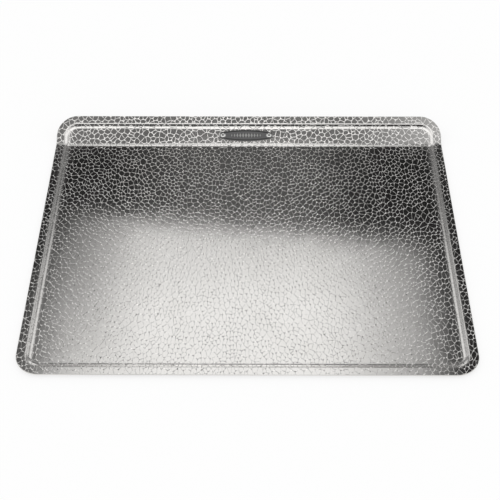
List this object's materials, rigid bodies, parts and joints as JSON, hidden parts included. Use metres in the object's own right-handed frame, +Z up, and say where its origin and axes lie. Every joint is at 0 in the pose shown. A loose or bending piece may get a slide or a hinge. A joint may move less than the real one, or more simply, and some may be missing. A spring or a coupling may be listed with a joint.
{
  "type": "cookie sheet",
  "caption": "Pressed aluminium baking sheet with a pebbled surface, a shallow stepped rim, rounded corners and a rear edge bent up as a handle, with a small riveted plate.",
  "frame": {"origin": "middle of the footprint, on the surface that the sheet rests on", "axes": "+X along the long side, +Y from the front edge to the raised handle, +Z up"},
  "size_m": [0.4444, 0.3556, 0.0207],
  "materials": {
    "sheet_metal": "bright rolled aluminium with a pebbled pattern",
    "plate_metal": "darkened satin metal",
    "rivet_metal": "bright aluminium",
    "mandrel_steel": "broken steel pin"
  },
  "bodies": {
    "root": {"cookie_sheet": "sheet_metal", "name_plate": "plate_metal", "left_rivet_body": "rivet_metal", "right_rivet_body": "rivet_metal", "left_rivet_mandrel": "mandrel_steel", "right_rivet_mandrel": "mandrel_steel"}
  },
  "joints": []
}
